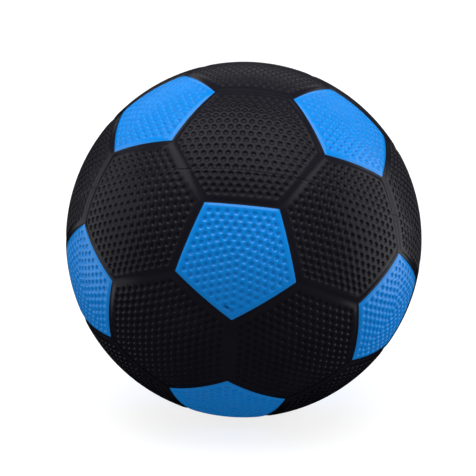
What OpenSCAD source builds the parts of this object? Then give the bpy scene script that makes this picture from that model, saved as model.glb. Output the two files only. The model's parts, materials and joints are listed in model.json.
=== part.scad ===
// Playground rubber ball: a moulded cover of 20 black hexagons and 12 blue pentagons over a carcass,
// a nylon winding and a bladder, with a pull-out needle valve in one pentagon.
// Millimetres. The origin is the centre of the ball, +Z is up, and the ball lies on its lowest point.

/* [Ball] */
// Outside diameter of the inflated ball
ball_d = 220; // [180:1:230]
// Thickness of the cover panels
cover_t = 1.6; // [1.4:0.1:2.5]
// Thickness of the carcass rubber under the cover
carcass_t = 0.3; // [0.3:0.1:1]
// Thickness of the nylon thread wound on the bladder
winding_t = 0.3; // [0.2:0.1:1]
// Thickness of the bladder wall
bladder_t = 0.6; // [0.4:0.1:1.5]

/* [Panels] */
// Half of the width of the channel around a blue panel
channel_half_w = 3.2; // [1.5:0.1:4.5]
// Depth of the channel around a blue panel, at its middle
channel_depth = 0.7; // [0.4:0.1:1.2]
// Half of the width of the channel between two black panels
seam_half_w = 4.0; // [1.5:0.1:4.5]
// Depth of the channel between two black panels, at its middle
seam_depth = 0.6; // [0.4:0.1:1.2]
// Distance from the middle of a channel to the edge of a blue panel
blue_setback = 1.0; // [0.2:0.1:1.5]

/* [Valve] */
// Outside diameter of the valve housing where it passes through the cover
neck_d = 9.5; // [8.5:0.5:12]
// Outside diameter of the housing inside the ball
boot_d = 12; // [11:0.5:14]
// Length of the housing below the inside of the bladder
boot_len = 21; // [16:1:26]
// Diameter of the flange bonded to the inside of the bladder
flange_d = 32; // [24:1:40]
// Thickness of the flange
flange_t = 1.4; // [1:0.1:2]
// Diameter of the pull-out core
core_d = 6; // [5:0.5:7]
// Length of the core below its head
core_len = 20; // [14:1:24]
// Diameter of the head of the core
core_head_d = 7.6; // [7:0.2:8]
// Thickness of the head of the core
core_head_t = 1.2; // [1:0.1:1.8]
// Diameter of the hole that takes an inflating needle
needle_d = 2; // [1.6:0.1:2.4]
// Depth of the needle hole, down to the slit end that seals it
needle_depth = 12; // [8:1:13]

/* [Lying pose] */
// Tilt of the moulding axis, which runs through the valve, from upright
mould_tilt = 38.1; // [0:0.1:90]
// Direction in plan that the moulding axis tilts towards
mould_heading = 81; // [0:0.1:360]
// Turn of the ball about the moulding axis
mould_spin = 7.6; // [0:0.1:72]

/* [Hidden] */
SIDES = [1, 2, 3, 4, 5];
$fn = 180;

// Radii of the layers, from the outside in
ball_r = ball_d / 2;
carcass_r = ball_r - cover_t;
winding_r = carcass_r - carcass_t;
bladder_r = winding_r - winding_t;
cavity_r = bladder_r - bladder_t;

// Directions from the centre of the ball are a polar angle from +Z and an azimuth. The pentagons sit
// at the corners of an icosahedron, and the hexagons over its faces. The angles are those between the
// centres of two neighbouring pentagons, and of a hexagon and a pentagon beside it.
pentagon_step = acos(1 / sqrt(5));
hexagon_step = acos(sqrt((5 + 2 * sqrt(5)) / 15));
function from_pole(polar, az) = [sin(polar) * cos(az), sin(polar) * sin(az), cos(polar)];
function unit(v) = v / norm(v);

// Angles from a panel's centre to the middle of each of its edges. A corner lies a third of the way
// from one pentagon's centre to the next. A blue edge stands back towards its pentagon.
corner_polar = atan(sin(pentagon_step) / (2 + cos(pentagon_step)));
pentagon_edge = atan(tan(corner_polar) * cos(36));
blue_edge = pentagon_edge - blue_setback / ball_r * 180 / PI;
black_edge = atan(tan(hexagon_step) * cos(60));
edge_span = 2 * asin(sin(corner_polar) * sin(36));

// The corner where the sides over two edges meet, each given by its angle and its azimuth
function corner(edge_1, az_1, edge_2, az_2) =
    unit(cross(from_pole(90 + edge_1, az_1), from_pole(90 + edge_2, az_2)));

// The channel is a round groove: a torus whose circle is centred above the surface
groove_overrun = 3;

// Clearances and small sizes
core_gap = 0.05;
head_gap = 0.1;
valve_sink = 0.25;
neck_round = 0.8;
boot_round = 2;
core_nose = 1.2;
wedge_reach = 1.3 * ball_r;
valve_z = ball_r - valve_sink;

module lie() {
    rotate([0, 0, mould_heading])
        rotate([0, mould_tilt, 0])
            rotate([0, 0, mould_spin])
                children();
}

// Points along an arc from one angle to another, in steps of 15 degrees
function arc(x, y, r, from, to) = [for (a = [from:15:to]) [x + r * cos(a), y + r * sin(a)]];

module shell(outer_r, t) {
    difference() {
        sphere(r = outer_r);
        sphere(r = outer_r - t);
    }
}

module valve_hole(d) {
    cylinder(h = 2 * ball_r, d = d);
}

// Flat sides from the centre of the ball out through the corners of a panel
module wedge(corners) {
    n = len(corners);
    polyhedron(
        points = concat([[0, 0, 0]], [for (c = corners) c * wedge_reach]),
        faces = concat([[for (i = [n:-1:1]) i]], [for (i = [1:n]) [0, i, i % n + 1]])
    );
}

// The groove over an edge whose middle is at this angle and azimuth
module channel(edge, az, half_w, depth) {
    span = edge_span + 2 * groove_overrun;
    groove_r = (pow(half_w, 2) + pow(depth, 2)) / (2 * depth);
    rotate([0, 0, az])
        rotate([0, edge - 90, 0])
            rotate([0, 0, -span / 2])
                rotate_extrude(angle = span)
                    translate([ball_r - depth + groove_r, 0])
                        circle(r = groove_r, $fn = 96);
}

// A blue panel with its centre on +Z and its first corner at azimuth 0
module pentagon_panel() {
    difference() {
        intersection() {
            shell(ball_r, cover_t);
            wedge([for (i = [0:4]) corner(blue_edge, 72 * i - 36, blue_edge, 72 * i + 36)]);
        }
        for (i = [0:4]) channel(pentagon_edge, 72 * i + 36, channel_half_w, channel_depth);
    }
}

// A black panel with its centre on +Z and a blue neighbour at azimuths 0, 120 and 240
module hexagon_panel() {
    to_blue = hexagon_step - blue_edge;
    difference() {
        intersection() {
            shell(ball_r, cover_t);
            wedge([
                for (i = [0:2]) each [
                    corner(black_edge, 120 * i - 60, to_blue, 120 * i),
                    corner(to_blue, 120 * i, black_edge, 120 * i + 60),
                ]
            ]);
        }
        for (i = [0:2]) {
            channel(hexagon_step - pentagon_edge, 120 * i, channel_half_w, channel_depth);
            channel(black_edge, 120 * i + 60, seam_half_w, seam_depth);
        }
    }
}

// Puts a panel's centre at a polar angle and azimuth, turned by spin about its own centre
module put(polar, az, spin = 0) {
    lie()
        rotate([0, 0, az])
            rotate([0, polar, 0])
                rotate([0, 0, spin])
                    children();
}

module bladder() {
    color("dimgray")
        lie()
            difference() {
                shell(bladder_r, bladder_t);
                valve_hole(neck_d);
            }
}

module thread_winding() {
    color("ivory")
        lie()
            difference() {
                shell(winding_r, winding_t);
                valve_hole(neck_d);
            }
}

module carcass() {
    color("#202022")
        lie()
            difference() {
                shell(carcass_r, carcass_t);
                valve_hole(neck_d);
            }
}

// Rubber housing: a flange bonded inside the bladder, a boot that hangs into the cavity, and a neck
// that comes up through every layer to the surface. It is open right through for the core.
module valve_housing() {
    boot_end = cavity_r - boot_len;
    bore_r = core_d / 2 + core_gap;
    head_seat = valve_z - core_head_t;
    color("#2a2a2c")
        lie()
            difference() {
                union() {
                    intersection() {
                        shell(cavity_r, flange_t);
                        cylinder(h = ball_r, d = flange_d);
                    }
                    rotate_extrude()
                        housing_outline(boot_end);
                }
                translate([0, 0, boot_end - 1])
                    cylinder(h = ball_r, r = bore_r);
                translate([0, 0, head_seat])
                    cylinder(h = ball_r, r = core_head_d / 2 + head_gap);
            }
}

module housing_outline(boot_end) {
    boot_r = boot_d / 2;
    neck_r = neck_d / 2;
    shoulder = cavity_r - flange_t;
    polygon(concat(
        [[0, boot_end]],
        arc(boot_r - boot_round, boot_end + boot_round, boot_round, -90, 0),
        [[boot_r, shoulder], [neck_r, shoulder]],
        arc(neck_r - neck_round, valve_z - neck_round, neck_round, 0, 90),
        [[0, valve_z]]
    ));
}

// Soft plug that seals the housing: a flat head, a straight shank with a tapered nose, and a blind
// hole for the needle
module valve_core() {
    shank_r = core_d / 2;
    head_r = core_head_d / 2;
    head_z = valve_z - core_head_t;
    tip_z = head_z - core_len;
    color("#3a3a3c")
        lie()
            difference() {
                rotate_extrude()
                    polygon([
                        [0, tip_z],
                        [shank_r - core_nose, tip_z],
                        [shank_r, tip_z + core_nose],
                        [shank_r, head_z],
                        [head_r, head_z],
                        [head_r, valve_z],
                        [0, valve_z],
                    ]);
                translate([0, 0, valve_z - needle_depth])
                    cylinder(h = 2 * needle_depth, d = needle_d);
            }
}

module pentagon_valve() {
    color("dodgerblue")
        put(0, 0)
            difference() {
                pentagon_panel();
                valve_hole(neck_d);
            }
}

module pentagon_base() {
    color("dodgerblue")
        put(180, 0)
            pentagon_panel();
}

module pentagon_upper(k) {
    color("dodgerblue")
        put(pentagon_step, 72 * k, 36)
            pentagon_panel();
}

module pentagon_lower(k) {
    color("dodgerblue")
        put(180 - pentagon_step, 72 * k + 36)
            pentagon_panel();
}

module hexagon_valve(k) {
    color("#1c1c1e")
        put(hexagon_step, 72 * k + 36, 60)
            hexagon_panel();
}

module hexagon_upper(k) {
    color("#1c1c1e")
        put(180 - pentagon_step - hexagon_step, 72 * k + 36)
            hexagon_panel();
}

module hexagon_lower(k) {
    color("#1c1c1e")
        put(pentagon_step + hexagon_step, 72 * k, 60)
            hexagon_panel();
}

module hexagon_base(k) {
    color("#1c1c1e")
        put(180 - hexagon_step, 72 * k)
            hexagon_panel();
}

bladder();
thread_winding();
carcass();
valve_housing();
valve_core();
pentagon_valve();
pentagon_base();
for (k = SIDES) pentagon_upper(k);
for (k = SIDES) pentagon_lower(k);
for (k = SIDES) hexagon_valve(k);
for (k = SIDES) hexagon_upper(k);
for (k = SIDES) hexagon_lower(k);
for (k = SIDES) hexagon_base(k);
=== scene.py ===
"""The looks of a moulded rubber playground ball: dimpled cover panels with channels between them,
the mould's parting line, the needle valve, and the bladder, winding and carcass inside."""

import json
import math
import random

import bmesh
import bpy
import numpy as np
from mathutils import Matrix, Vector
from mathutils.geometry import delaunay_2d_cdt


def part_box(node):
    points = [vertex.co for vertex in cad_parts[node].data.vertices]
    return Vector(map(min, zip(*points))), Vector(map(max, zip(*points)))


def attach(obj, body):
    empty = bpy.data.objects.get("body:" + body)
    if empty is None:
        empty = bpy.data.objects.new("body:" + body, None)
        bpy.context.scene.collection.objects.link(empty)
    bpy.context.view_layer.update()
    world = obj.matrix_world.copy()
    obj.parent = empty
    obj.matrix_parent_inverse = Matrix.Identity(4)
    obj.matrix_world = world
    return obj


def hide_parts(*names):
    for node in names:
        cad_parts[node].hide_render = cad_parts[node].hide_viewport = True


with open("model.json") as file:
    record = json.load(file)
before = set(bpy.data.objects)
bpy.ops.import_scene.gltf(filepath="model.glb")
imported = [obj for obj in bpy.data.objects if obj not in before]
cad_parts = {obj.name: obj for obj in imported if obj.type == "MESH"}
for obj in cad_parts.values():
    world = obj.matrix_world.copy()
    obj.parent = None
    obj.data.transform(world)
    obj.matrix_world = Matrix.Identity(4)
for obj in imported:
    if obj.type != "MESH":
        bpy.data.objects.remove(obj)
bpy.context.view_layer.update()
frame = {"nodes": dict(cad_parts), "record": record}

# ---------------------------------------------------------------- sizes, in millimetres and degrees
MM = 0.001
MOUNTS = {m["name"]: m for m in frame["record"]["mounts"]}
BALL_R = -MOUNTS["rest_point"]["pos_m"][2] / MM
VALVE_AXIS = Vector(MOUNTS["needle_port"]["axis"]).normalized()
NEEDLE_R = MOUNTS["needle_port"]["dims"]["r_mm"]
NEEDLE_DEPTH = MOUNTS["needle_port"]["dims"]["length_mm"]


def outer_radius(node):
    low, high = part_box(node)
    return (high - low).x / 2 / MM


CARCASS_R = outer_radius("carcass")
WINDING_R = outer_radius("thread_winding")
BLADDER_R = outer_radius("bladder")
BLADDER_T = 0.6
CAVITY_R = BLADDER_R - BLADDER_T
NECK_R = 4.75

# The layers under the cover. A lip is how far a seam stands proud, and the profile of a seam gives
# parts of its half width and of its lip.
BLADDER_SEAMS = 4
BLADDER_LIP = 0.12
CARCASS_SEAMS = 6
CARCASS_LIP = 0.08
LAYER_GAP = 0.05
SEAM_HALF_W = 1.6
SEAM_PROFILE = ((-1, 0), (-0.8, 1), (0, 1), (0.8, 1), (1, 0))
POINTS_BETWEEN_SEAMS = 12
SHELL_RINGS = 60

# The thread's turns, each set off from the last by the golden angle
THREAD_R = 0.11
THREAD_TURNS = 120
THREAD_STEPS = 72
THREAD_SIDES = 5
THREAD_CLEAR_OF_NECK = 1.5
GOLDEN_ANGLE = 137.508

# The valve, along its own axis from the centre of the ball
VALVE_SINK = 0.25
VALVE_TOP = BALL_R - VALVE_SINK
BORE_R = 3.05
BOOT_R = 6.0
BOOT_LENGTH = 21
BOOT_END = CAVITY_R - BOOT_LENGTH
BOOT_RINGS = (3.6, 6.0, 8.4, 10.8)
BOOT_RING_DEPTH = 0.5
FLANGE_R = 16.0
FLANGE_T = 1.4
FLANGE_RIM = 0.9
HEAD_T = 1.2
HEAD_SEAT = VALVE_TOP - HEAD_T
HEAD_RECESS_R = 3.9
HEAD_R = 3.8
HEAD_RING_DEPTH = 0.18
SHANK_R = 3.0
SHANK_LENGTH = 20
SHANK_END = HEAD_SEAT - SHANK_LENGTH
SHANK_RIBS = range(3, 19, 3)
SHANK_RIB_HEIGHT = 0.2
LATHE_SIDES = 72
LATHE_SHARP = 40

# The hole in the valve's panel: the radius and depth of each ring of its sunk rim, and how far from
# its middle the dimples start
VALVE_HOLE_RINGS = (
    (7.6, 0.0), (7.4, 0.06), (7.2, 0.12), (7.0, 0.15),
    (5.6, 0.15), (5.2, 0.2), (4.9, 0.32), (4.78, 0.5),
)
VALVE_HOLE_SIDES = 48
VALVE_CLEAR = 9.6

# The channels between panels: half of the width and the depth. Three meet at each corner, and a
# panel follows the one that leaves it there for THIRD_REACH degrees.
BLUE_CHANNEL = (2.7, 0.62)
BLACK_CHANNEL = (4.1, 0.6)
CHANNEL_ROUNDNESS = 1.5
CORNER_SHARPNESS = 4.0
THIRD_REACH = 12
BLUE_SETBACK = 1.0
BLUE_SHOULDER = 2.5
BLACK_SHOULDER = 2.0
SHOULDER_SHARPNESS = 8.0

# The dimples of a pentagon divide the arc between two pentagon centres evenly
LATTICE_STEPS = 27
PENTAGON_FIRST = 20
HEXAGON_ROWS = 8
HEXAGON_PITCH = 4.9
MIDDLE_SPREAD = 3.6

# How the pattern of a panel lies off its regular place: millimetres along and across its rows, and
# degrees. It lies off less by SLIDE_DAMPING towards the panel's edge.
SLIDE_DAMPING = 0.3
SLIDES = {
    "hexagon_upper_2": (0.45, -1.45, 1.1),
    "hexagon_lower_2": (-1.25, 0.3, -0.1),
    "hexagon_lower_3": (1.0, 1.2, 1.4),
}
DIMPLE_R = 1.95
DIMPLE_DEPTH = 0.78
DIMPLE_PROFILE = ((1.0, 0.0), (0.88, 0.11), (0.73, 0.42), (0.58, 0.74), (0.44, 0.94), (0.29, 1.0))
DIMPLE_SIDES = 14

# The points and strips of a panel's mesh. The strips lie closer together near the outline, and the
# back has a ring of every fourth outline point at each tenth of the way out.
EDGE_POINTS = 40
CHANNEL_STRIPS = 8
STRIP_SPACING = 1.4
CONTOUR_HALVINGS = 40
BACK_EVERY = 4
BACK_RINGS = 10
FIRST_BACK_RING = 1
FIRST_BACK_RING_AT_VALVE = 3

# The parting line of the mould runs round the ball between its two pentagons on the moulding axis
PARTING_POLAR = 10.81
PARTING_HALF_W = 0.42
PARTING_DEPTH = 0.16
PARTING_CUTS = (0, 0.5, -0.5, 1, -1)
PARTING_REACH = 2
PARTING_SKIN = 1.4

# ---------------------------------------------------------------- directions on the ball
PENTAGON_STEP = math.degrees(math.acos(1 / math.sqrt(5)))
HEXAGON_STEP = math.degrees(math.acos(math.sqrt((5 + 2 * math.sqrt(5)) / 15)))
SIDES = (1, 2, 3, 4, 5)
MIDDLE = np.array([0.0, 0.0, 1.0])


def unit(v):
    return v / np.linalg.norm(v)


def from_pole(polar, az):
    """Unit vectors at polar angles from +Z and azimuths, in degrees."""
    polar, az = np.radians(polar), np.radians(az)
    return np.stack([np.sin(polar) * np.cos(az), np.sin(polar) * np.sin(az), np.cos(polar)], axis=-1)


CORNER_POLAR = math.degrees(
    math.atan2(math.sin(math.radians(PENTAGON_STEP)), 2 + math.cos(math.radians(PENTAGON_STEP)))
)


def edge_middle(corner_polar, half_turn):
    """Polar angle of the middle of an edge, from that of its corners."""
    return math.degrees(math.atan(math.tan(math.radians(corner_polar)) * math.cos(math.radians(half_turn))))


PENTAGON_EDGE = edge_middle(CORNER_POLAR, 36)
BLACK_EDGE = edge_middle(HEXAGON_STEP, 60)
TO_ANGLE = math.degrees(1 / BALL_R)


def moulding_frame():
    """Rotation from the moulding axis as +Z, with an upper pentagon at azimuth 0, to the lying ball."""
    heading = math.atan2(VALVE_AXIS.y, VALVE_AXIS.x)
    tilt = math.acos(VALVE_AXIS.z)
    lean = Matrix.Rotation(heading, 3, "Z") @ Matrix.Rotation(tilt, 3, "Y")
    spins = []
    for k in SIDES:
        mesh = frame["nodes"][f"pentagon_upper_{k}"].data
        centre = sum((p.center * p.area for p in mesh.polygons), Vector())
        local = lean.transposed() @ centre
        spins.append((math.degrees(math.atan2(local.y, local.x)) - 72 * k + 36) % 72 - 36)
    return lean @ Matrix.Rotation(math.radians(sum(spins) / len(spins)), 3, "Z")


LYING = moulding_frame()


def place(polar, az, spin=0.0):
    """Rotation that puts a panel's centre at a polar angle and azimuth on the ball, turned by spin."""
    turn = Matrix.Rotation(math.radians(az), 3, "Z") @ Matrix.Rotation(math.radians(polar), 3, "Y")
    return (LYING @ turn @ Matrix.Rotation(math.radians(spin), 3, "Z")).to_4x4()


# ---------------------------------------------------------------- channel depth over the ball
def distance_to_edge(points, start, end):
    """Distance in millimetres from directions to the arc from start to end."""
    normal = unit(np.cross(start, end))
    across = np.arcsin(np.clip(np.abs(points @ normal), 0, 1))
    within = (points @ np.cross(normal, start) >= 0) & (points @ np.cross(end, normal) >= 0)
    ends = np.maximum(points @ start, points @ end)
    beyond = np.arccos(np.clip(ends, -1, 1))
    return np.where(within, across, beyond) * BALL_R


def channel_depth(points, edges):
    """Depth of the channels at directions, which run together smoothly where they meet."""
    total, blend = 0, 0
    for start, end, (half_w, depth) in edges:
        weight = (np.maximum(distance_to_edge(points, start, end), 1e-3) / half_w) ** -CORNER_SHARPNESS
        total = total + weight
        blend = blend + weight * depth
    across = np.clip(total ** (-1 / CORNER_SHARPNESS), 0, 1)
    return blend / total * (1 - across**2) ** CHANNEL_ROUNDNESS


# ---------------------------------------------------------------- the two panel shapes
class Shape:
    """A panel about +Z. sides holds, for each side, the polar angle of the middle of its edge, its
    azimuth, how far in the outline stands from the edge, where its shoulder ends, and its channel.
    third is the channel that leaves each corner away from the panel."""

    def __init__(self, sides, third, dimples):
        self.sides = sides
        self.dimples = dimples
        self.planes = [from_pole(90 + side[0] - side[2] * TO_ANGLE, side[1]) for side in sides]
        ideal = [from_pole(90 + side[0], side[1]) for side in sides]
        count = len(sides)
        corners = [unit(np.cross(ideal[i - 1], ideal[i])) for i in range(count)]
        self.edges = [(corners[i], corners[(i + 1) % count], sides[i][4]) for i in range(count)]
        for i, corner in enumerate(corners):
            self.edges.append((corner, third_end(corner, ideal[i - 1], ideal[i]), third))
        self.outline_corners = [unit(np.cross(self.planes[i - 1], self.planes[i])) for i in range(count)]

    def outline(self):
        """Azimuths and polar angles of points along the outline."""
        points = []
        for i, start in enumerate(self.outline_corners):
            end = self.outline_corners[(i + 1) % len(self.sides)]
            for step in range(EDGE_POINTS):
                points.append(unit(start + (end - start) * step / EDGE_POINTS))
        points = np.array(points)
        return np.degrees(np.arctan2(points[:, 1], points[:, 0])), np.degrees(np.arccos(points[:, 2]))

    def contour(self, azimuths, outline, level):
        """Polar angles of the contour that lies level of the way from the outline to the shoulder."""
        low, high = np.zeros_like(outline), outline.copy()
        for _ in range(CONTOUR_HALVINGS):
            middle = (low + high) / 2
            points = from_pole(middle, azimuths)
            spread = 0
            for plane, (_, _, inset, shoulder, _) in zip(self.planes, self.sides, strict=True):
                inside = np.maximum(-np.arcsin(points @ plane) * BALL_R / (shoulder - inset), 1e-6)
                spread = spread + inside**-SHOULDER_SHARPNESS
            too_near = spread ** (-1 / SHOULDER_SHARPNESS) < level
            high = np.where(too_near, middle, high)
            low = np.where(too_near, low, middle)
        return (low + high) / 2


def third_end(corner, plane_1, plane_2):
    """The far end of the edge that leaves a corner away from the panel between two planes."""
    away = unit(unit(plane_1) + unit(plane_2))
    away = unit(away - corner * (away @ corner))
    reach = math.radians(THIRD_REACH)
    return corner * math.cos(reach) + away * math.sin(reach)


def lattice(pentagons, wanted):
    """Directions of the dimples between three pentagon centres whose three counts are wanted."""
    step = math.radians(PENTAGON_STEP) / LATTICE_STEPS
    found = []
    for i in range(LATTICE_STEPS + 1):
        for j in range(LATTICE_STEPS + 1 - i):
            counts = (i, j, LATTICE_STEPS - i - j)
            if wanted(counts):
                parts = [math.sin(n * step) * c for n, c in zip(counts, pentagons, strict=True)]
                found.append(unit(sum(parts)))
    return found


def hexagon_rows(spread, slide):
    """Directions of the dimples of a hexagon in rows across azimuth 0. The rows in the middle stand
    further apart by spread, and slide moves the pattern in millimetres and turns it in degrees."""
    reach = HEXAGON_ROWS * HEXAGON_PITCH * math.sqrt(3) / 2
    found = []
    for row in range(-HEXAGON_ROWS, HEXAGON_ROWS + 1):
        in_row = 2 * HEXAGON_ROWS + 1 - abs(row)
        for i in range(in_row):
            x = row / HEXAGON_ROWS
            y = (i - (in_row - 1) / 2) * HEXAGON_PITCH / reach
            free = 1 - SLIDE_DAMPING * (x * x + y * y)
            along = x * reach + spread * (x - x**3 - x * y * y / 4) + slide[0] * free
            across = y * reach + slide[1] * free
            az = math.degrees(math.atan2(across, along)) + slide[2]
            found.append(from_pole(math.hypot(along, across) * TO_ANGLE, az))
    return found


def hexagon_shape(spread=0.0, slide=(0.0, 0.0, 0.0)):
    to_blue = HEXAGON_STEP - PENTAGON_EDGE
    sides = []
    for i in range(3):
        sides.append((to_blue, 120.0 * i, -BLUE_SETBACK, BLUE_SHOULDER, BLUE_CHANNEL))
        sides.append((BLACK_EDGE, 120.0 * i + 60, 0.0, BLACK_SHOULDER, BLACK_CHANNEL))
    return Shape(sides, BLUE_CHANNEL, hexagon_rows(spread, slide))


def pentagon_shape(valve=False):
    sides = [
        (PENTAGON_EDGE, 72.0 * i + 36, BLUE_SETBACK, BLUE_SHOULDER, BLUE_CHANNEL) for i in range(5)
    ]
    dimples = []
    for i in range(5):
        about = [from_pole(0, 0), from_pole(PENTAGON_STEP, 72.0 * i), from_pole(PENTAGON_STEP, 72.0 * i + 72)]
        dimples += lattice(about, lambda n: n[0] >= PENTAGON_FIRST and (n[2] >= 1 or n[1] == 0 == i))
    if valve:
        dimples = [d for d in dimples if math.degrees(math.acos(min(1, d[2]))) > VALVE_CLEAR * TO_ANGLE]
    return Shape(sides, BLACK_CHANNEL, dimples)


# ---------------------------------------------------------------- panel meshes
class Builder:
    """Gathers vertices and faces of a panel in millimetres about its own +Z."""

    def __init__(self):
        self.points = []
        self.count = 0
        self.smooth = []
        self.flat = []

    def add(self, directions, radii):
        block = np.asarray(directions) * np.asarray(radii).reshape(-1, 1)
        self.points.append(block)
        first = self.count
        self.count += len(block)
        return list(range(first, self.count))

    def strip(self, inner, outer, faces):
        """Quads between two closed rings, seen anticlockwise with inner on the left."""
        n = len(inner)
        for i in range(n):
            j = (i + 1) % n
            faces.append((outer[i], outer[j], inner[j], inner[i]))

    def mesh(self, name):
        data = bpy.data.meshes.new(name)
        data.from_pydata((np.concatenate(self.points) * MM).tolist(), [], self.smooth + self.flat)
        flags = [True] * len(self.smooth) + [False] * len(self.flat)
        data.polygons.foreach_set("use_smooth", flags)
        data.update()
        return data


def to_plane(directions):
    """Stereographic map of directions about +Z, which keeps circles round."""
    directions = np.asarray(directions)
    return directions[:, :2] / (1 + directions[:, 2:3])


def fill(builder, rings, faces, loose=(), reverse=False):
    """Adds to faces the triangles over the region inside the first ring and outside the others. A
    ring is a list of vertex numbers, and loose holds numbers of single vertices."""
    all_points = np.concatenate(builder.points)
    order = [v for ring in rings for v in ring] + list(loose)
    directions = all_points[order] / np.linalg.norm(all_points[order], axis=1, keepdims=True)
    flat = [Vector(p) for p in to_plane(directions)]
    owner, edges, start = [], [], 0
    for r, ring in enumerate(rings):
        owner += [r] * len(ring)
        edges += [(start + i, start + (i + 1) % len(ring)) for i in range(len(ring))]
        start += len(ring)
    owner += [0] * len(loose)
    _, _, triangles, source, _, _ = delaunay_2d_cdt(flat, edges, [], 0, 1e-9, True)
    for triangle in triangles:
        a, b, c = (source[v][0] for v in triangle)
        if owner[a] and owner[a] == owner[b] == owner[c]:
            continue
        face = (order[a], order[b], order[c])
        faces.append(face[::-1] if reverse else face)


def ring_about(centre, radius, sides):
    """Directions of a ring of a radius in millimetres about a direction."""
    side = unit(np.cross(centre, (0, 1, 0) if abs(centre[1]) < 0.9 else (1, 0, 0)))
    up = np.cross(centre, side)
    angle = radius / BALL_R
    around = np.radians(np.arange(sides) * 360 / sides)
    spread = np.outer(np.cos(around), side) + np.outer(np.sin(around), up)
    return centre * math.cos(angle) + spread * math.sin(angle)


def cut_parting_line(data):
    """Cuts the fine groove of the parting line across a panel whose azimuth 0 points over it."""
    normal = Vector(from_pole(90 + PARTING_POLAR, 0))
    bm = bmesh.new()
    bm.from_mesh(data)
    for offset in PARTING_CUTS:
        near = {f for v in bm.verts if abs(v.co @ normal) < PARTING_REACH * MM for f in v.link_faces}
        edges = {e for f in near for e in f.edges}
        corners = {v for f in near for v in f.verts}
        bmesh.ops.bisect_plane(
            bm,
            geom=[*near, *edges, *corners],
            dist=1e-7,
            plane_co=normal * offset * PARTING_HALF_W * MM,
            plane_no=normal,
        )
    # The groove's edges and the panel's back stay where they are
    for v in bm.verts:
        across = abs(v.co @ normal) / (PARTING_HALF_W * MM)
        if across < 0.99 and v.co.length > (BALL_R - PARTING_SKIN) * MM:
            v.co *= 1 - PARTING_DEPTH * MM * (1 - across**2) / v.co.length
    bm.to_mesh(data)
    bm.free()


def panel_mesh(name, shape, valve=False):
    build = Builder()
    azimuths, outline = shape.outline()

    def surface(directions, extra=0.0):
        return build.add(directions, BALL_R - channel_depth(directions, shape.edges) - extra)

    # The channel's side, from the outline in to the shoulder
    border = surface(from_pole(outline, azimuths))
    outer = border
    for strip in range(1, CHANNEL_STRIPS + 1):
        level = (strip / CHANNEL_STRIPS) ** STRIP_SPACING
        inner = surface(from_pole(shape.contour(azimuths, outline, level), azimuths))
        build.strip(inner, outer, build.smooth)
        outer = inner
    rings = [outer]

    # The dimples
    for centre in shape.dimples:
        previous = None
        for part, deep in DIMPLE_PROFILE:
            ring = surface(ring_about(centre, DIMPLE_R * part, DIMPLE_SIDES), DIMPLE_DEPTH * deep)
            if previous is None:
                rings.append(ring)
            else:
                build.strip(ring, previous, build.smooth)
            previous = ring
        middle = surface(centre.reshape(1, 3), DIMPLE_DEPTH)[0]
        for i in range(DIMPLE_SIDES):
            build.smooth.append((previous[i], previous[(i + 1) % DIMPLE_SIDES], middle))

    # The hole for the valve, with its sunk rim
    hole = None
    if valve:
        for radius, depth in VALVE_HOLE_RINGS:
            ring = surface(ring_about(MIDDLE, radius, VALVE_HOLE_SIDES), depth)
            if hole is None:
                rings.append(ring)
            else:
                build.strip(ring, hole, build.smooth)
            hole = ring
    fill(build, rings, build.smooth)

    # The edges, which face the neighbouring panels, and the back, which lies on the carcass
    back = build.add(from_pole(outline, azimuths), np.full(len(outline), CARCASS_R))
    build.strip(border, back, build.flat)
    back_rings = [back]
    if valve:
        hole_back = build.add(
            ring_about(MIDDLE, VALVE_HOLE_RINGS[-1][0], VALVE_HOLE_SIDES),
            np.full(VALVE_HOLE_SIDES, CARCASS_R),
        )
        build.strip(hole_back, hole, build.flat)
        back_rings.append(hole_back)
    # Its inner points lie close together, so that it follows the round carcass
    inside = []
    for ring in range(FIRST_BACK_RING_AT_VALVE if valve else FIRST_BACK_RING, BACK_RINGS):
        some = from_pole(outline[::BACK_EVERY] * ring / BACK_RINGS, azimuths[::BACK_EVERY])
        inside += build.add(some, np.full(len(some), CARCASS_R))
    if not valve:
        inside += build.add(MIDDLE.reshape(1, 3), np.full(1, CARCASS_R))
    fill(build, back_rings, build.flat, inside, reverse=True)
    return build.mesh(name)


# ---------------------------------------------------------------- meshes of the layers and the valve
def turned(name, rings):
    """A closed surface through rings of points in millimetres, from the bottom up outside and down
    inside. A ring of one point lies on the axis."""
    build = Builder()
    loops = [build.add(ring, np.ones(len(ring))) for ring in rings]
    sides = max(len(loop) for loop in loops)
    for lower, upper in zip(loops, loops[1:] + loops[:1], strict=True):
        if len(lower) == len(upper) == 1:
            continue
        for i in range(sides):
            j = (i + 1) % sides
            around = [lower[i % len(lower)], lower[j % len(lower)]]
            around += [upper[j % len(upper)], upper[i % len(upper)]]
            build.smooth.append(tuple(dict.fromkeys(around)))
    data = build.mesh(name)
    data.set_sharp_from_angle(angle=math.radians(LATHE_SHARP))
    return data


def rounded(corners):
    """Points along a loop of (r, z, rounding) corners."""
    points = []
    for i, (r, z, rounding) in enumerate(corners):
        corner = np.array([r, z])
        if rounding == 0:
            points.append(corner)
            continue
        back = corner + unit(np.array(corners[i - 1][:2]) - corner) * rounding
        ahead = corner + unit(np.array(corners[(i + 1) % len(corners)][:2]) - corner) * rounding
        for t in (0, 0.25, 0.5, 0.75, 1):
            points.append((1 - t) ** 2 * back + 2 * t * (1 - t) * corner + t**2 * ahead)
    return points


def lathe(name, corners):
    turn = np.radians(np.arange(LATHE_SIDES) * 360 / LATHE_SIDES)
    rings = []
    for r, z in rounded(corners):
        around = turn if r > 0 else turn[:1]
        rings.append(np.stack([r * np.cos(around), r * np.sin(around), np.full(len(around), z)], axis=-1))
    return turned(name, rings)


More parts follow.
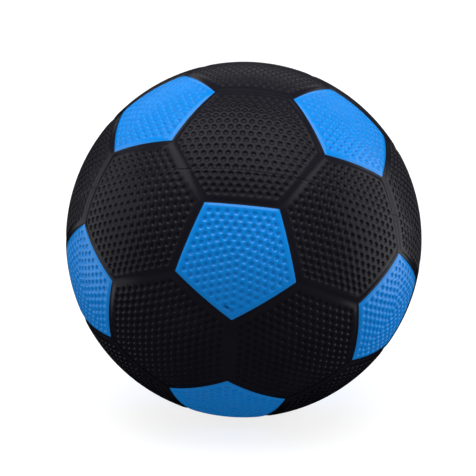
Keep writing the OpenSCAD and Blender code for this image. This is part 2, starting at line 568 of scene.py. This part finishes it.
def on_sphere(radius, from_r, to_r, steps, rounding=0):
    """Corners along a sphere's section, between two distances from the valve's axis."""
    return [(r, math.sqrt(radius**2 - r**2), rounding) for r in np.linspace(from_r, to_r, steps).tolist()]


def housing_mesh(name):
    """The valve housing: a ringed boot, the flange bonded inside the bladder, and the neck."""
    under_flange = CAVITY_R - FLANGE_T
    rings = []
    groove_r = BOOT_R - BOOT_RING_DEPTH
    for z in BOOT_RINGS:
        rings += [(BOOT_R, BOOT_END + z, 0.3), (groove_r, BOOT_END + z + 0.5, 0.2)]
        rings += [(groove_r, BOOT_END + z + 0.9, 0.2), (BOOT_R, BOOT_END + z + 1.4, 0.3)]
    corners = [(BORE_R, BOOT_END, 0.4), (BOOT_R, BOOT_END, 1.6), *rings]
    corners += on_sphere(under_flange, BOOT_R, BOOT_R, 1, 1.2)
    corners += on_sphere(under_flange, BOOT_R + 2, FLANGE_R - 1, 8)
    corners += [(FLANGE_R, math.sqrt((CAVITY_R - FLANGE_RIM) ** 2 - FLANGE_R**2), 0.25)]
    corners += on_sphere(CAVITY_R, FLANGE_R, FLANGE_R, 1, 0.25)
    corners += on_sphere(CAVITY_R, FLANGE_R - 1, NECK_R, 8)
    corners += [(NECK_R, VALVE_TOP, 0.8), (HEAD_RECESS_R, VALVE_TOP, 0.12)]
    corners += [(HEAD_RECESS_R, HEAD_SEAT, 0.12), (BORE_R, HEAD_SEAT, 0.2)]
    return lathe(name, corners)


def core_mesh(name):
    """The valve core: a ribbed shank with a tapered nose, and a flat ringed head with the funnel of
    the needle hole."""
    plain_r = SHANK_R - SHANK_RIB_HEIGHT
    ring_z = VALVE_TOP - HEAD_RING_DEPTH
    corners = [(0, SHANK_END, 0), (SHANK_R - 1.2, SHANK_END, 0.4), (plain_r, SHANK_END + 1.4, 0.4)]
    for z in SHANK_RIBS:
        corners += [(plain_r, SHANK_END + z - 0.7, 0.2), (SHANK_R, SHANK_END + z - 0.3, 0.15)]
        corners += [(SHANK_R, SHANK_END + z + 0.3, 0.15), (plain_r, SHANK_END + z + 0.7, 0.2)]
    corners += [(plain_r, HEAD_SEAT, 0.1), (HEAD_R, HEAD_SEAT, 0.2), (HEAD_R, VALVE_TOP, 0.35)]
    corners += [(2.9, VALVE_TOP, 0.08), (2.75, ring_z, 0.05), (2.45, ring_z, 0.05)]
    corners += [(2.3, VALVE_TOP, 0.08), (NEEDLE_R + 0.7, VALVE_TOP, 0.2), (NEEDLE_R, VALVE_TOP - 0.8, 0.3)]
    corners += [(NEEDLE_R, VALVE_TOP - NEEDLE_DEPTH + 0.6, 0.2), (0, VALVE_TOP - NEEDLE_DEPTH, 0)]
    return lathe(name, corners)


def seamed_shell(name, outer_r, inner_r, seams, lip):
    """A hollow ball with the hole for the valve's neck at +Z and seams that run down from it."""
    seam = SEAM_HALF_W / outer_r
    azimuths, proud = [], []
    for k in range(seams):
        middle = 2 * math.pi * k / seams
        for offset, height in SEAM_PROFILE:
            azimuths.append(math.degrees(middle + offset * seam))
            proud.append(height)
        between = np.linspace(0, 2 * math.pi / seams, POINTS_BETWEEN_SEAMS + 2)[1:-1]
        azimuths += np.degrees(middle + between).tolist()
        proud += [0] * POINTS_BETWEEN_SEAMS
    azimuths, proud = np.array(azimuths), np.array(proud)

    def ring(radius, polar):
        return from_pole(np.full(len(azimuths), polar), azimuths) * radius

    hole = math.degrees(math.asin(NECK_R / outer_r))
    polars = np.linspace(180, hole, SHELL_RINGS)[1:]
    outside = [ring((outer_r - lip * (1 - proud)).reshape(-1, 1), polar) for polar in polars]
    inside = [ring(inner_r, polar) for polar in polars[::-1]]
    bottom = [np.array([[0.0, 0.0, -outer_r + lip]])]
    return turned(name, [*bottom, *outside, *inside, np.array([[0.0, 0.0, -inner_r]])])


def winding_mesh(name):
    """Turns of thread round the bladder, each a great circle that keeps clear of the valve's neck."""
    build = Builder()
    draw = random.Random(11)
    along = np.radians(np.arange(THREAD_STEPS) * 360 / THREAD_STEPS).reshape(-1, 1, 1)
    across = np.radians(np.arange(THREAD_SIDES) * 360 / THREAD_SIDES).reshape(1, -1, 1)
    clear = (NECK_R + THREAD_CLEAR_OF_NECK) / WINDING_R
    for turn in range(THREAD_TURNS):
        height = clear + (1 - clear) * (turn + draw.random()) / THREAD_TURNS
        normal = from_pole(math.degrees(math.acos(height)), GOLDEN_ANGLE * turn)
        side = unit(np.cross(normal, (0.0, 0.0, 1.0)))
        up = np.cross(normal, side)
        radius = WINDING_R - THREAD_R - draw.uniform(0.01, 0.04)
        out = side * np.cos(along) + up * np.sin(along)
        tube = out * (radius + THREAD_R * np.cos(across)) + normal * THREAD_R * np.sin(across)
        points = tube.reshape(-1, 3)
        first = build.add(points, np.ones(len(points)))[0]
        for i in range(THREAD_STEPS):
            here = first + i * THREAD_SIDES
            ahead = first + (i + 1) % THREAD_STEPS * THREAD_SIDES
            for j in range(THREAD_SIDES):
                k = (j + 1) % THREAD_SIDES
                build.smooth.append((here + j, ahead + j, ahead + k, here + k))
    return build.mesh(name)


# ---------------------------------------------------------------- materials
BLOTCH_SCALE = 28
UNEVEN_GLOSS_SCALE = 90
GRAIN_SCALE = 2600
GRAIN_DEPTH = 0.00002
RAMP_START = 0.3
RAMP_STOP = 0.7

# The nick in the front pentagon: its size, its middle and heading in the panel's own frame, in metres
# and degrees, and how dark and deep it is
NICK_SIZE = (0.0021, 0.0008, 0.01)
NICK_MIDDLE = (0.02925, -0.00307, 0.106)
NICK_HEADING = 70
NICK_COLOUR = (0.0, 0.025, 0.13, 1)
NICK_DEPTH = 0.0006


def material(name, **settings):
    made = bpy.data.materials.new(name)
    made.use_nodes = True
    shader = made.node_tree.nodes["Principled BSDF"]
    for socket, value in settings.items():
        shader.inputs[socket.replace("_", " ")].default_value = value
    return made, made.node_tree, shader


def noise(tree, scale, detail, roughness=0.5):
    where = tree.nodes.new("ShaderNodeTexCoord")
    made = tree.nodes.new("ShaderNodeTexNoise")
    made.inputs["Scale"].default_value = scale
    made.inputs["Detail"].default_value = detail
    made.inputs["Roughness"].default_value = roughness
    tree.links.new(where.outputs["Object"], made.inputs["Vector"])
    return made


def ramp(tree, source, low, high):
    """Runs from low to high, which are colours or numbers, over the middle of what source gives."""
    made = tree.nodes.new("ShaderNodeValToRGB")
    made.color_ramp.elements[0].position = RAMP_START
    made.color_ramp.elements[1].position = RAMP_STOP
    for element, value in zip(made.color_ramp.elements, (low, high), strict=True):
        element.color = (*value, 1) if isinstance(value, tuple) else (value, value, value, 1)
    tree.links.new(source.outputs["Fac"], made.inputs["Fac"])
    return made


def bump(tree, shader, source, distance):
    made = tree.nodes.new("ShaderNodeBump")
    made.inputs["Distance"].default_value = distance
    made.inputs["Strength"].default_value = 1.0
    tree.links.new(source.outputs["Fac"], made.inputs["Height"])
    tree.links.new(made.outputs["Normal"], shader.inputs["Normal"])


def rubber(name, dark, light, rough_low, rough_high, gloss=0.2):
    made, tree, shader = material(name, Specular_IOR_Level=gloss)
    blotch = noise(tree, BLOTCH_SCALE, 4)
    tree.links.new(ramp(tree, blotch, dark, light).outputs["Color"], shader.inputs["Base Color"])
    uneven = noise(tree, UNEVEN_GLOSS_SCALE, 3)
    tree.links.new(ramp(tree, uneven, rough_low, rough_high).outputs["Color"], shader.inputs["Roughness"])
    bump(tree, shader, noise(tree, GRAIN_SCALE, 3, 0.6), GRAIN_DEPTH)
    return made


def nicked(finish, turn):
    """A copy of a finish with the nick. turn leads from the panel's own frame to the ball's."""
    made = finish.copy()
    made.name = finish.name + "_nicked"
    tree = made.node_tree
    shader = tree.nodes["Principled BSDF"]

    def add(kind, **inputs):
        node = tree.nodes.new(kind)
        for socket, value in inputs.items():
            node.inputs[socket.replace("_", " ")].default_value = value
        return node

    heading = Matrix.Rotation(math.radians(NICK_HEADING), 4, "Z")
    lay = turn @ Matrix.Translation(NICK_MIDDLE) @ heading
    cut = add("ShaderNodeMapping", Location=lay.to_translation(), Rotation=lay.to_euler(), Scale=NICK_SIZE)
    cut.vector_type = "TEXTURE"
    tree.links.new(add("ShaderNodeTexCoord").outputs["Object"], cut.inputs["Vector"])
    ragged = add("ShaderNodeTexNoise", Scale=1.6, Detail=2.0)
    tree.links.new(cut.outputs["Vector"], ragged.inputs["Vector"])
    across = add("ShaderNodeVectorMath")
    across.operation = "LENGTH"
    tree.links.new(cut.outputs["Vector"], across.inputs[0])
    edge = add("ShaderNodeMath")
    edge.operation = "ADD"
    tree.links.new(across.outputs["Value"], edge.inputs[0])
    tree.links.new(ragged.outputs["Fac"], edge.inputs[1])
    inside = add("ShaderNodeMapRange", From_Min=1.5, From_Max=0.9)
    tree.links.new(edge.outputs["Value"], inside.inputs["Value"])
    colour = add("ShaderNodeMix")
    colour.data_type = "RGBA"
    tree.links.new(shader.inputs["Base Color"].links[0].from_socket, colour.inputs[6])
    colour.inputs[7].default_value = NICK_COLOUR
    tree.links.new(inside.outputs["Result"], colour.inputs["Factor"])
    tree.links.new(colour.outputs[2], shader.inputs["Base Color"])
    dent = add("ShaderNodeBump", Distance=NICK_DEPTH)
    dent.invert = True
    tree.links.new(inside.outputs["Result"], dent.inputs["Height"])
    tree.links.new(shader.inputs["Normal"].links[0].from_socket, dent.inputs["Normal"])
    tree.links.new(dent.outputs["Normal"], shader.inputs["Normal"])
    return made


BLACK = rubber("black_rubber", (0.0078, 0.0073, 0.0112), (0.0105, 0.0099, 0.0148), 0.21, 0.28, 0.095)
BLUE = rubber("blue_rubber", (0.0, 0.205, 0.64), (0.0, 0.223, 0.7), 0.2, 0.27, 0.26)
NICKED_BLUE = nicked(BLUE, place(180 - PENTAGON_STEP, 180))
CARCASS = rubber("carcass_rubber", (0.016, 0.016, 0.017), (0.024, 0.024, 0.025), 0.6, 0.75)
BLADDER = rubber("bladder_rubber", (0.024, 0.024, 0.026), (0.034, 0.034, 0.036), 0.38, 0.5)
VALVE = rubber("valve_rubber", (0.014, 0.014, 0.014), (0.02, 0.02, 0.02), 0.4, 0.5)
CORE = rubber("core_rubber", (0.03, 0.03, 0.031), (0.04, 0.04, 0.041), 0.3, 0.4)
THREAD = rubber("nylon_thread", (0.62, 0.6, 0.52), (0.78, 0.76, 0.69), 0.5, 0.65)


# ---------------------------------------------------------------- pieces
def piece(name, data, turn, finish, slot, body, *replaced):
    """A piece from a copy of a mesh, with its place on the ball put into the mesh itself."""
    data = data.copy()
    data.transform(turn)
    data.materials.append(finish)
    made = bpy.data.objects.new(name, data)
    bpy.context.scene.collection.objects.link(made)
    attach(made, body)
    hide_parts(*replaced)


def equator_hexagon(name, slide=(0.0, 0.0, 0.0)):
    """The mesh of a hexagon that the parting line crosses."""
    data = panel_mesh(name, hexagon_shape(MIDDLE_SPREAD, slide))
    cut_parting_line(data)
    return data


PENTAGON = panel_mesh("pentagon", pentagon_shape())
PENTAGON_WITH_VALVE = panel_mesh("pentagon_with_valve", pentagon_shape(valve=True), valve=True)
HEXAGON = panel_mesh("hexagon", hexagon_shape())
EQUATOR_HEXAGON = equator_hexagon("equator_hexagon")
SLID_HEXAGONS = {
    node: equator_hexagon("slid_" + node, slide) for node, slide in SLIDES.items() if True
}


def cover_panel(node, data, turn):
    blue = node.startswith("pentagon")
    finish, slot = (BLUE, "blue_rubber") if blue else (BLACK, "black_rubber")
    if node == "pentagon_lower_2":
        finish = NICKED_BLUE
    piece("cover_" + node, data, turn, finish, slot, "ball", node)


cover_panel("pentagon_valve", PENTAGON_WITH_VALVE, place(0, 0))
cover_panel("pentagon_base", PENTAGON, place(180, 0))
for k in SIDES:
    cover_panel(f"pentagon_upper_{k}", PENTAGON, place(PENTAGON_STEP, 72 * k, 36))
    cover_panel(f"pentagon_lower_{k}", PENTAGON, place(180 - PENTAGON_STEP, 72 * k + 36))
    cover_panel(f"hexagon_valve_{k}", HEXAGON, place(HEXAGON_STEP, 72 * k + 36, 60))
    for node, turn in (
        (f"hexagon_upper_{k}", place(180 - PENTAGON_STEP - HEXAGON_STEP, 72 * k + 36)),
        (f"hexagon_lower_{k}", place(PENTAGON_STEP + HEXAGON_STEP, 72 * k, 180)),
    ):
        cover_panel(node, SLID_HEXAGONS.get(node, EQUATOR_HEXAGON), turn)
    cover_panel(f"hexagon_base_{k}", HEXAGON, place(180 - HEXAGON_STEP, 72 * k))

UPRIGHT = LYING.to_4x4()
bladder = seamed_shell("bladder", BLADDER_R - LAYER_GAP, CAVITY_R, BLADDER_SEAMS, BLADDER_LIP)
piece("inner_bladder", bladder, UPRIGHT, BLADDER, "bladder_rubber", "ball", "bladder")
piece("inner_winding", winding_mesh("winding"), UPRIGHT, THREAD, "nylon_thread", "ball", "thread_winding")
carcass = seamed_shell("carcass", CARCASS_R, WINDING_R, CARCASS_SEAMS, CARCASS_LIP)
piece("inner_carcass", carcass, UPRIGHT, CARCASS, "carcass_rubber", "ball", "carcass")
piece("housing", housing_mesh("housing"), UPRIGHT, VALVE, "valve_rubber", "ball", "valve_housing")
piece("core", core_mesh("core"), UPRIGHT, CORE, "core_rubber", "valve_core", "valve_core")

# ---------------------------------------------------------------- stage
CAMERA_ELEVATION = 16.8
CAMERA_DISTANCE = 11.686 * BALL_R * MM
CAMERA_LENS = 156.7
CAMERA_SHIFT = (-0.0121, 0.0033)
WALL_WEAK = 0.3
WALL_STRONG = 0.93
WALL_STRONGEST_TOWARD = (0, 0.6, -0.8)
FLOOR_SIZE = 4.0
FLOOR_GLOW = 0.8

# The name, place, size in metres and power in watts of each soft light
SOFTBOXES = (
    ("overhead", (-0.04, -0.24, 1.2), (1.8, 1.1), 20),
    ("behind", (0, 1.5, 0.8), (2.0, 0.5), 2),
    ("left", (-1.25, 0.2, 0.1), (1.2, 1.4), 7),
    ("right", (1.25, 0.15, 0.1), (1.2, 1.4), 11.5),
)


def camera():
    data = bpy.data.cameras.new("camera")
    data.lens = CAMERA_LENS
    data.sensor_width = 36
    data.shift_x, data.shift_y = CAMERA_SHIFT
    made = bpy.data.objects.new("camera", data)
    bpy.context.scene.collection.objects.link(made)
    up = math.radians(CAMERA_ELEVATION)
    made.location = (0, -math.cos(up) * CAMERA_DISTANCE, math.sin(up) * CAMERA_DISTANCE)
    made.rotation_euler = (math.radians(90) - up, 0, 0)
    bpy.context.scene.camera = made


def softbox(name, location, size, power):
    data = bpy.data.lights.new(name, "AREA")
    data.shape = "RECTANGLE"
    data.size, data.size_y = size
    data.energy = power
    made = bpy.data.objects.new(name, data)
    bpy.context.scene.collection.objects.link(made)
    made.location = location
    made.rotation_euler = (Vector() - Vector(location)).to_track_quat("-Z", "Y").to_euler()


def studio_walls():
    """Soft light from all round, weakest from above in front and strongest from below behind, where
    the pale floor and backdrop of a studio send it back."""
    world = bpy.data.worlds.new("studio")
    bpy.context.scene.world = world
    world.use_nodes = True
    world.cycles_visibility.glossy = False
    tree = world.node_tree
    background = tree.nodes["Background"]
    background.inputs["Color"].default_value = (1, 1, 1, 1)
    where = tree.nodes.new("ShaderNodeTexCoord")
    toward = tree.nodes.new("ShaderNodeVectorMath")
    toward.operation = "DOT_PRODUCT"
    toward.inputs[1].default_value = WALL_STRONGEST_TOWARD
    strength = tree.nodes.new("ShaderNodeMapRange")
    for socket, value in (("From Min", -1), ("From Max", 1), ("To Min", WALL_WEAK), ("To Max", WALL_STRONG)):
        strength.inputs[socket].default_value = value
    tree.links.new(where.outputs["Generated"], toward.inputs[0])
    tree.links.new(toward.outputs["Value"], strength.inputs["Value"])
    tree.links.new(strength.outputs["Result"], background.inputs["Strength"])


def stage():
    bm = bmesh.new()
    bmesh.ops.create_grid(bm, x_segments=1, y_segments=1, size=FLOOR_SIZE)
    data = bpy.data.meshes.new("floor")
    bm.to_mesh(data)
    bm.free()
    floor = bpy.data.objects.new("floor", data)
    bpy.context.scene.collection.objects.link(floor)
    floor.location = (0, 0, -BALL_R * MM)
    finish, _, shader = material("pale_floor", Roughness=0.9)
    shader.inputs["Base Color"].default_value = (0.3, 0.3, 0.3, 1)
    shader.inputs["Emission Color"].default_value = (1, 1, 1, 1)
    shader.inputs["Emission Strength"].default_value = FLOOR_GLOW
    data.materials.append(finish)
    floor.visible_diffuse = False
    floor.visible_glossy = False
    studio_walls()
    for box in SOFTBOXES:
        softbox(*box)
    bpy.context.scene.view_settings.view_transform = "Standard"


camera()
stage()
